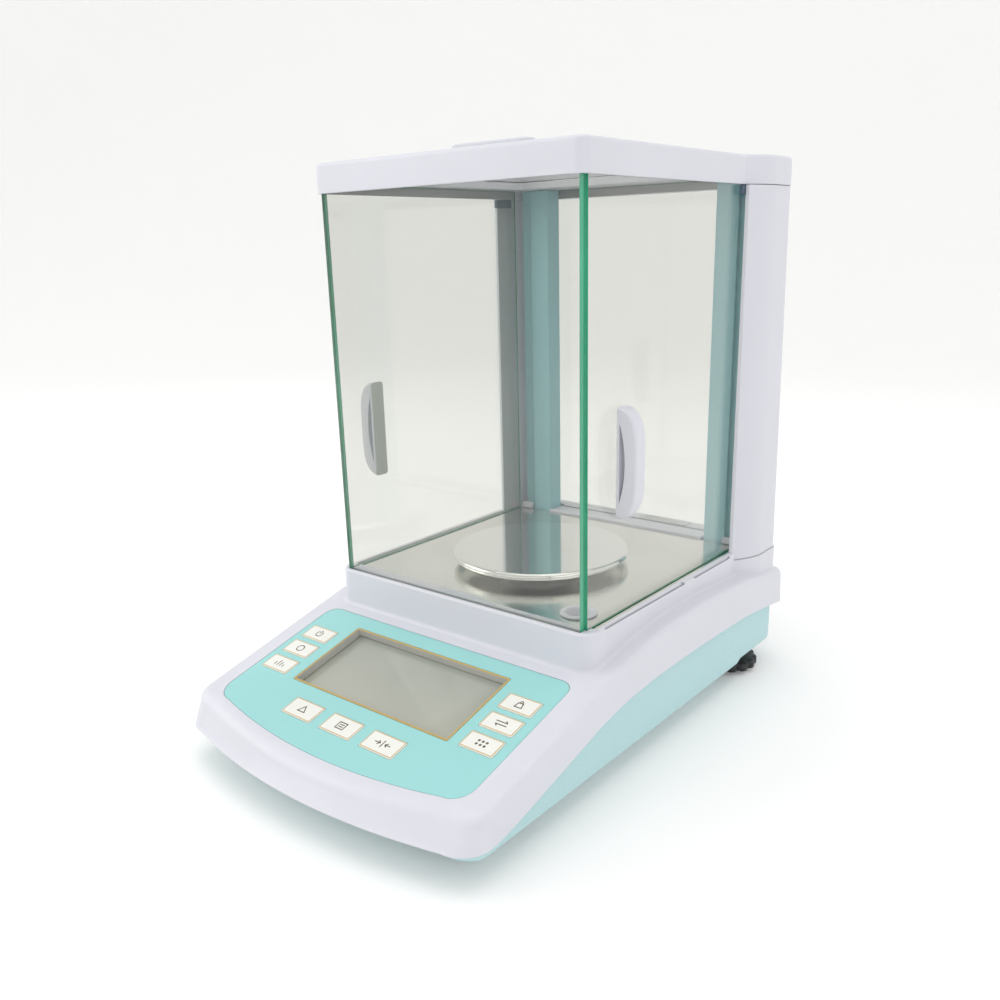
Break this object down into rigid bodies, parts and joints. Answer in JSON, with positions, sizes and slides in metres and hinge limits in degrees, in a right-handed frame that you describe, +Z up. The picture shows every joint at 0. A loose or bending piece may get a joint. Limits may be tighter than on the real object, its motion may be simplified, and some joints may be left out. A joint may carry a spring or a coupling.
{
  "type": "analytical balance",
  "caption": "Laboratory balance: glass chamber with sliding side and top doors round a round pan, on a moulded base with a sloping keypad, display and levelling feet.",
  "frame": {"origin": "centre of the bounding box's footprint, on the surface that the feet stand on", "axes": "+X to the object's right as the user sees it, +Y to the back, +Z up"},
  "size_m": [0.2208, 0.347, 0.333],
  "materials": {
    "white_plastic": "satin moulded white plastic",
    "teal_plastic": "fine-grained grey-green plastic",
    "teal_paint": "grey-green painted aluminium extrusion",
    "overlay": "aqua keypad membrane, satin",
    "key": "off-white key face with a tan border",
    "gold": "gold display border",
    "display": "grey-green display",
    "steel": "polished stainless steel",
    "aluminium": "machined aluminium",
    "copper": "enamelled copper winding",
    "glass": "clear float glass with green edges",
    "rubber": "black rubber",
    "black_plastic": "black moulded plastic",
    "board": "printed circuit board",
    "label": "blank silver label"
  },
  "bodies": {
    "base": {"back_glass": "glass", "casing_screw_front_left": "steel", "casing_screw_front_right": "steel", "casing_screw_rear_left": "steel", "casing_screw_rear_right": "steel", "cell_bracket": "aluminium", "data_port": "steel", "floor_plate": "steel", "force_coil": "copper", "front_glass": "glass", "keypad_board": "board", "keypad_overlay": "overlay", "lcd_bezel": "gold", "lcd_module": "display", "left_column": "teal_paint", "left_front_foot": "rubber", "left_pillar_cover": "white_plastic", "left_rear_clip": "white_plastic", "level_ring": "white_plastic", "level_vial": "glass", "lever_beam": "aluminium", "lower_casing": "teal_plastic", "magnet_housing": "steel", "main_board": "board", "power_inlet": "black_plastic", "power_transformer": "steel", "rating_label": "label", "rear_sill": "white_plastic", "right_column": "teal_paint", "right_front_foot": "rubber", "right_pillar_cover": "white_plastic", "right_rear_clip": "white_plastic", "top_frame": "white_plastic", "upper_shell": "white_plastic"},
    "left_door": {"left_door_glass": "glass", "left_door_handle": "white_plastic"},
    "right_door": {"right_door_glass": "glass", "right_door_handle": "white_plastic"},
    "top_door": {"top_door": "glass", "top_door_handle": "white_plastic"},
    "pan_carrier": {"pan_support": "aluminium"},
    "pan": {"weighing_pan": "steel"},
    "key_calibrate_cap": {"key_calibrate": "key"},
    "key_count_cap": {"key_count": "key"},
    "key_integration_cap": {"key_integration": "key"},
    "key_off_cap": {"key_off": "key"},
    "key_on_cap": {"key_on": "key"},
    "key_print_cap": {"key_print": "key"},
    "key_sensitivity_cap": {"key_sensitivity": "key"},
    "key_tare_cap": {"key_tare": "key"},
    "key_unit_cap": {"key_unit": "key"},
    "left_foot_stem": {"left_levelling_pad": "rubber"},
    "left_foot_wheel": {"left_levelling_wheel": "black_plastic"},
    "right_foot_stem": {"right_levelling_pad": "rubber"},
    "right_foot_wheel": {"right_levelling_wheel": "black_plastic"}
  },
  "joints": [
    {"name": "left_door_slide", "type": "slide", "parent": "base", "child": "left_door", "axis": [0, 1, 0], "range_m": [0, 0.115]},
    {"name": "right_door_slide", "type": "slide", "parent": "base", "child": "right_door", "axis": [0, 1, 0], "range_m": [0, 0.115]},
    {"name": "top_door_slide", "type": "slide", "parent": "base", "child": "top_door", "axis": [0, 1, 0], "range_m": [0, 0.11]},
    {"name": "weigh", "type": "slide", "parent": "base", "child": "pan_carrier", "axis": [0, 0, -1], "range_m": [0, 0.0004], "stiffness_N_per_m": 4000, "springref_m": -0.0006},
    {"name": "pan_lift", "type": "slide", "parent": "pan_carrier", "child": "pan", "axis": [0, 0, 1], "range_m": [0, 0.05]},
    {"name": "key_calibrate_press", "type": "slide", "parent": "base", "child": "key_calibrate_cap", "axis": [0, 0.2497, -0.9683], "range_m": [0, 0.0006], "stiffness_N_per_m": 800, "springref_m": -0.0003},
    {"name": "key_count_press", "type": "slide", "parent": "base", "child": "key_count_cap", "axis": [0, 0.2497, -0.9683], "range_m": [0, 0.0006], "stiffness_N_per_m": 800, "springref_m": -0.0003},
    {"name": "key_integration_press", "type": "slide", "parent": "base", "child": "key_integration_cap", "axis": [0, 0.2497, -0.9683], "range_m": [0, 0.0006], "stiffness_N_per_m": 800, "springref_m": -0.0003},
    {"name": "key_off_press", "type": "slide", "parent": "base", "child": "key_off_cap", "axis": [0, 0.2497, -0.9683], "range_m": [0, 0.0006], "stiffness_N_per_m": 800, "springref_m": -0.0003},
    {"name": "key_on_press", "type": "slide", "parent": "base", "child": "key_on_cap", "axis": [0, 0.2497, -0.9683], "range_m": [0, 0.0006], "stiffness_N_per_m": 800, "springref_m": -0.0003},
    {"name": "key_print_press", "type": "slide", "parent": "base", "child": "key_print_cap", "axis": [0, 0.2497, -0.9683], "range_m": [0, 0.0006], "stiffness_N_per_m": 800, "springref_m": -0.0003},
    {"name": "key_sensitivity_press", "type": "slide", "parent": "base", "child": "key_sensitivity_cap", "axis": [0, 0.2497, -0.9683], "range_m": [0, 0.0006], "stiffness_N_per_m": 800, "springref_m": -0.0003},
    {"name": "key_tare_press", "type": "slide", "parent": "base", "child": "key_tare_cap", "axis": [0, 0.2497, -0.9683], "range_m": [0, 0.0006], "stiffness_N_per_m": 800, "springref_m": -0.0003},
    {"name": "key_unit_press", "type": "slide", "parent": "base", "child": "key_unit_cap", "axis": [0, 0.2497, -0.9683], "range_m": [0, 0.0006], "stiffness_N_per_m": 800, "springref_m": -0.0003},
    {"name": "left_foot_height", "type": "slide", "parent": "base", "child": "left_foot_stem", "axis": [0, 0, -1], "range_m": [-0.00187, 0.00187]},
    {"name": "left_foot_turn", "type": "hinge", "parent": "left_foot_stem", "child": "left_foot_wheel", "pos_m": [-0.088, 0.1305, 0.0063], "axis": [0, 0, 1], "range_deg": [-540, 540]},
    {"name": "right_foot_height", "type": "slide", "parent": "base", "child": "right_foot_stem", "axis": [0, 0, -1], "range_m": [-0.00187, 0.00187]},
    {"name": "right_foot_turn", "type": "hinge", "parent": "right_foot_stem", "child": "right_foot_wheel", "pos_m": [0.088, 0.1305, 0.0063], "axis": [0, 0, 1], "range_deg": [-540, 540]}
  ],
  "couplings": [
    {"joint": "left_foot_turn", "follows": "left_foot_height", "rad_per_m": 5026.6},
    {"joint": "right_foot_turn", "follows": "right_foot_height", "rad_per_m": 5026.6}
  ]
}
